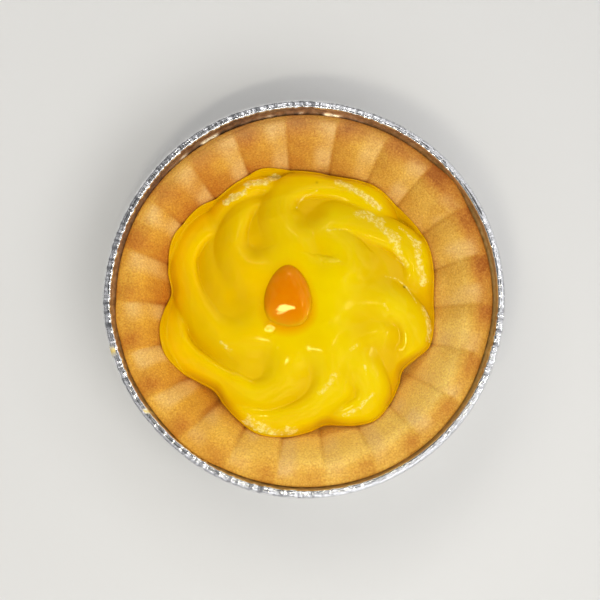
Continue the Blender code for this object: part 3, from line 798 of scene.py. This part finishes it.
class Nodes:
    """A tree of shader nodes, each joined to others as it is made."""

    def __init__(self, tree):
        self.tree = tree

    def node(self, kind, inputs=None, **settings):
        """New node; an input is a number, a colour or another node's output."""
        made = self.tree.nodes.new(kind)
        for key, value in settings.items():
            setattr(made, key, value)
        self.feed(made, inputs or {})
        return made

    def feed(self, made, inputs):
        for key, value in inputs.items():
            socket = made.inputs[key]
            if isinstance(value, bpy.types.NodeSocket):
                self.tree.links.new(value, socket)
            else:
                socket.default_value = value

    def math(self, operation, a, b):
        return self.node("ShaderNodeMath", {0: a, 1: b}, operation=operation).outputs[0]

    def spread(self, value, low, high, to_low=0.0, to_high=1.0):
        """Value between low and high, spread evenly from to_low to to_high and held there."""
        inputs = {0: value, 1: low, 2: high, 3: to_low, 4: to_high}
        return self.node("ShaderNodeMapRange", inputs).outputs[0]

    def ramp(self, value, stops):
        """Colour by value, from stops of (value, colour)."""
        made = self.node("ShaderNodeValToRGB", {0: value})
        marks = made.color_ramp.elements
        while len(marks) < len(stops):
            marks.new(0.5)
        for mark, (at, colour) in zip(marks, stops):
            mark.position = at
            mark.color = colour
        return made.outputs[0]


class Finish(Nodes):
    """A material made of nodes, with one shader."""

    def __init__(self, name):
        self.material = bpy.data.materials.new(name)
        self.material.use_nodes = True
        super().__init__(self.material.node_tree)
        self.shader = self.tree.nodes["Principled BSDF"]

    def attribute(self, label):
        return self.node("ShaderNodeAttribute", attribute_name=label).outputs["Fac"]

    def noise(self, size, detail=3.0, rough=0.5):
        """Noise with lumps about size millimetres across."""
        place = self.node("ShaderNodeTexCoord").outputs["Object"]
        inputs = {"Vector": place, "Scale": 1 / (size * MM), "Detail": detail, "Roughness": rough}
        return self.node("ShaderNodeTexNoise", inputs).outputs["Fac"]

    def blend(self, share, a, b, how="MIX"):
        inputs = {0: share, 6: a, 7: b}
        return self.node("ShaderNodeMix", inputs, data_type="RGBA", blend_type=how).outputs[2]

    def mark(self, label, most, under, colour, how="MIX"):
        """Blends colour over under, by an attribute from 0 to 1, up to a share of most."""
        share = self.spread(self.attribute(label), 0.0, 1.0, 0.0, most)
        return self.blend(share, under, colour, how)

    def relief(self, height, deep, under=None):
        """Bump of deep millimetres."""
        inputs = {"Height": height, "Strength": 1.0, "Distance": deep * MM}
        if under is not None:
            inputs["Normal"] = under
        return self.node("ShaderNodeBump", inputs).outputs[0]

    def coat(self, **sockets):
        """Sets the shader's sockets, named in small letters, and gives the material."""
        names = {key.replace("_", " ").title(): value for key, value in sockets.items()}
        self.feed(self.shader, {key.replace("Ior", "IOR"): value for key, value in names.items()})
        return self.material


def foil_finish():
    """Bright scuffed metal; painted shade in the rim's grooves, a painted crust reflection beside
    it.
    """
    f = Finish("crimped_foil")
    scuff = f.spread(f.noise(2.0, 4.0), 0.35, 0.7, 0.12, 0.26)
    fine = f.relief(f.noise(0.35, 3.0), 0.02)
    crease = f.relief(f.noise(1.6, 4.0, 0.6), 0.12, fine)
    colour = f.blend(f.noise(3.0), (0.80, 0.80, 0.81, 1), (0.93, 0.93, 0.94, 1))
    # Painted shade between the crimps, in the groove and at the upper left.
    colour = f.mark("shade", 0.9, colour, (0.06, 0.06, 0.07, 1))
    # Painted brownish reflection of the crust, in painted shade, on the inner face beside it.
    painted_reflection = f.attribute("painted_reflection")
    crust_reflection = f.ramp(f.noise(1.1, 4.0, 0.6), (
        (0.3, tint(158, 106, 58)), (0.5, tint(212, 162, 96)), (0.7, tint(238, 202, 150)),
    ))
    colour = f.blend(painted_reflection, colour, crust_reflection)
    # Yellow curd smears on the rim, and painted light on the inner face beside the crust.
    smear_and_painted_light = f.attribute("smear_and_painted_light")
    colour = f.blend(smear_and_painted_light, colour, tint(232, 206, 120))
    rough = f.math("ADD", scuff, f.math("MULTIPLY", f.math("MAXIMUM", painted_reflection, smear_and_painted_light), 0.3))
    metal = f.math("SUBTRACT", 1.0, f.math("MAXIMUM", f.math("MULTIPLY", painted_reflection, 0.35), smear_and_painted_light))
    return f.coat(base_color=colour, metallic=metal, roughness=rough, normal=crease)


def pastry_finish():
    """Shortcrust in baked tones, warm places, dots, painted highlights on pleats, painted crease
    shade.
    """
    f = Finish("browned_shortcrust")
    speckle = f.noise(0.45, 3.0, 0.6)
    toast_and_shadow = f.math("ADD", f.attribute("toast_and_shadow"), f.spread(speckle, 0.3, 0.7, -0.1, 0.1))
    colour = f.ramp(toast_and_shadow, (
        (0.0, tint(249, 210, 112)), (0.30, tint(229, 180, 80)), (0.55, tint(212, 156, 62)),
        (0.80, tint(194, 126, 46)), (1.0, tint(164, 92, 30)),
    ))
    # Painted highlights on the pleats.
    colour = f.mark("pleat_highlight", 0.7, colour, tint(236, 197, 128))
    colour = f.mark("warm", 0.75, colour, tint(255, 236, 150), "MULTIPLY")
    # Painted shade in the creases.
    colour = f.mark("crease", 0.7, colour, tint(180, 104, 36))
    dots = f.noise(0.38, 4.0, 0.75)
    red = f.spread(dots, 0.35, 0.65, 0.82, 1.14)
    rest = f.spread(dots, 0.35, 0.65, 0.70, 1.24)
    dotted = f.node("ShaderNodeCombineColor", {0: red, 1: rest, 2: rest}).outputs[0]
    colour = f.blend(1.0, colour, dotted, "MULTIPLY")
    sand = f.relief(speckle, 0.16)
    crumb = f.relief(f.noise(1.4, 4.0, 0.6), 0.09, sand)
    return f.coat(
        base_color=colour, roughness=f.spread(speckle, 0.3, 0.7, 0.6, 0.8), normal=crumb,
        specular_ior_level=0.2, subsurface_weight=0.15, subsurface_scale=1.5 * MM,
        subsurface_radius=(1.0, 0.5, 0.2),
    )


def curd_finish():
    """Glossy, cloudy yellow; painted gold shade, orange, a dried film with painted highlights,
    specks.
    """
    f = Finish("lemon_curd")
    cloud = f.noise(9.0, 2.0)
    colour = f.blend(f.spread(cloud, 0.35, 0.65), tint(227, 195, 0), tint(231, 203, 0))
    # Painted shade: gold at the left.
    colour = f.mark("left_shade", 0.8, colour, tint(244, 182, 0))
    # Painted shade: darker gold in the hollows and along the edge.
    colour = f.blend(f.attribute("hollow_shade"), colour, tint(218, 169, 0))
    colour = f.blend(f.attribute("bleed"), colour, tint(228, 158, 0))
    # Dried skin painted pale as highlights, with bright painted glint flecks on it.
    skin_and_highlight = f.attribute("skin_and_highlight")
    colour = f.blend(f.spread(skin_and_highlight, 0.1, 0.9, 0.0, 0.6), colour, tint(236, 206, 50))
    colour = f.blend(f.spread(skin_and_highlight, 0.8, 1.6, 0.0, 0.8), colour, tint(222, 190, 98))
    glint_flecks = f.spread(f.noise(0.8, 5.0, 0.7), 0.47, 0.58)
    glint_flecks = f.math("MULTIPLY", f.spread(skin_and_highlight, 0.1, 0.7), glint_flecks)
    colour = f.blend(f.spread(glint_flecks, 0.0, 1.0, 0.0, 0.75), colour, tint(252, 238, 150))
    colour = f.blend(f.attribute("speck"), colour, tint(70, 40, 0))
    wrinkle = f.relief(glint_flecks, 0.03)
    soft = f.relief(f.noise(3.5, 2.0), 0.10, wrinkle)
    return f.coat(
        base_color=colour, roughness=f.spread(cloud, 0.3, 0.7, 0.1, 0.16), normal=soft,
        specular_ior_level=0.2, specular_tint=(1.0, 0.88, 0.36, 1.0),
        subsurface_weight=0.35, subsurface_scale=2.0 * MM, subsurface_radius=(1.0, 0.7, 0.08),
    )


def gel_finish():
    """Orange in the thick middle, fading to the curd's gold where the gel is thin."""
    f = Finish("orange_gel")
    colour = f.ramp(f.attribute("thin"), (
        (0.0, tint(222, 128, 0)), (0.5, tint(225, 138, 0)), (0.85, tint(227, 150, 0)),
        (1.0, tint(229, 162, 0)),
    ))
    return f.coat(
        base_color=colour, roughness=0.06, ior=1.42, normal=f.relief(f.noise(2.5, 2.0), 0.05),
        specular_tint=(1.0, 0.68, 0.22, 1.0),
        subsurface_weight=0.4, subsurface_scale=2.0 * MM, subsurface_radius=(1.0, 0.45, 0.02),
        specular_ior_level=0.5,
    )


# ---- the tart, floor, lights and camera ----

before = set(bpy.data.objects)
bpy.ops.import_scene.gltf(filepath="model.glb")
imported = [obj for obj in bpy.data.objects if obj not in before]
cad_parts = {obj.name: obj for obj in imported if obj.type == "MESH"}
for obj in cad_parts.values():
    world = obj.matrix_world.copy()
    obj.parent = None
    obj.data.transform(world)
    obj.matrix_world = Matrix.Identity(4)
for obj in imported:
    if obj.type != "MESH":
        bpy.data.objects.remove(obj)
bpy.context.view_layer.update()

for piece, node, slot in (
    (foil_cup(foil_finish()), "foil_cup", "foil"),
    (pastry_shell(pastry_finish()), "pastry_shell", "pastry"),
    (lemon_curd(curd_finish()), "lemon_curd", "curd"),
    (gel_drop(gel_finish()), "orange_gel_drop", "gel"),
):
    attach(piece, "root")
    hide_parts(node)

floor_mesh = bpy.data.meshes.new("floor")
floor_mesh.from_pydata([(-2, -2, 0), (2, -2, 0), (2, 2, 0), (-2, 2, 0)], [], [(0, 1, 2, 3)])
floor = bpy.data.objects.new("floor", floor_mesh)
bpy.context.scene.collection.objects.link(floor)
floor_finish = Finish("pale_floor")
floor_mesh.materials.append(floor_finish.coat(base_color=(0.72, 0.72, 0.71, 1), roughness=0.6))


def soft_light(
    name, place, width, height, power, colour=(1.0, 1.0, 1.0), mirrored=True, lit=True, roll=0
):
    """Oval lamp at place, facing the tart, turned by roll degrees.

    A mirrored lamp shows as a glint in gloss; one that isn't lit does nothing else.
    """
    lamp = bpy.data.lights.new(name, "AREA")
    lamp.shape = "ELLIPSE"
    lamp.size = width
    lamp.size_y = height
    lamp.energy = power
    lamp.color = colour
    holder = bpy.data.objects.new(name, lamp)
    bpy.context.scene.collection.objects.link(holder)
    holder.location = place
    facing = (Vector(LAMP_TARGET) - Vector(place)).to_track_quat("-Z", "Y").to_euler()
    facing.rotate_axis("Z", np.radians(roll))
    holder.rotation_euler = facing
    holder.visible_glossy = mirrored
    holder.visible_diffuse = lit


def surroundings():
    """Bright walls, a dark ceiling over the camera, a darker far left, and uneven patches."""
    world = bpy.data.worlds.new("studio")
    world.use_nodes = True
    sky = Nodes(world.node_tree)
    way = sky.node("ShaderNodeTexCoord").outputs["Generated"]
    up = sky.node("ShaderNodeSeparateXYZ", {0: way}).outputs[2]
    walls = sky.ramp(up, [(height, (grey, grey, grey * 1.02, 1)) for height, grey in WALLS])
    side = sky.node("ShaderNodeVectorMath", {0: way, 1: LIT_FROM}, operation="DOT_PRODUCT")
    lit = sky.spread(side.outputs["Value"], -0.7, 0.7, 0.35, 1.25)
    patches = sky.node("ShaderNodeTexNoise", {"Vector": way, "Scale": 6.0, "Detail": 2.0})
    patches = sky.spread(patches.outputs["Fac"], 0.42, 0.58, 0.15, 2.2)
    background = sky.tree.nodes["Background"]
    sky.feed(background, {"Color": walls, "Strength": sky.math("MULTIPLY", lit, patches)})
    bpy.context.scene.world = world


def camera_at_photo():
    """Camera at the photograph's angle, as far back as FRAME_WIDTH asks."""
    camera = bpy.data.cameras.new("camera")
    camera.lens = 100
    camera.sensor_width = 36
    camera.clip_start = 0.01
    holder = bpy.data.objects.new("camera", camera)
    bpy.context.scene.collection.objects.link(holder)
    elevation = np.radians(CAMERA_ELEVATION)
    back = Vector((0, -np.cos(elevation), np.sin(elevation)))
    distance = FRAME_WIDTH * camera.lens / camera.sensor_width
    holder.location = Vector(CAMERA_TARGET) + back * distance
    holder.rotation_euler = (-back).to_track_quat("-Z", "Y").to_euler()
    return holder


soft_light("key", (0.16, -0.20, 0.42), 0.30, 0.30, 0.75, (1.0, 0.98, 0.95), mirrored=False)
soft_light("fill", (-0.16, 0.22, 0.42), 0.30, 0.30, 0.43, (1.0, 0.96, 0.88), mirrored=False)
soft_light("front_glint", (-0.043, -0.138, 0.36), 0.09, 0.025, 0.26, WARM, roll=33)
soft_light("right_glint", (0.36, -0.088, 0.16), 0.14, 0.03, 0.15, lit=False)
soft_light("side_glint", (0.168, -0.044, 0.38), 0.12, 0.02, 0.09, WARM, lit=False, roll=-26)
soft_light("back_glint", (0.02, 0.32, 0.34), 0.16, 0.04, 0.08)
surroundings()
bpy.context.scene.view_settings.view_transform = "Standard"
bpy.context.scene.camera = camera_at_photo()
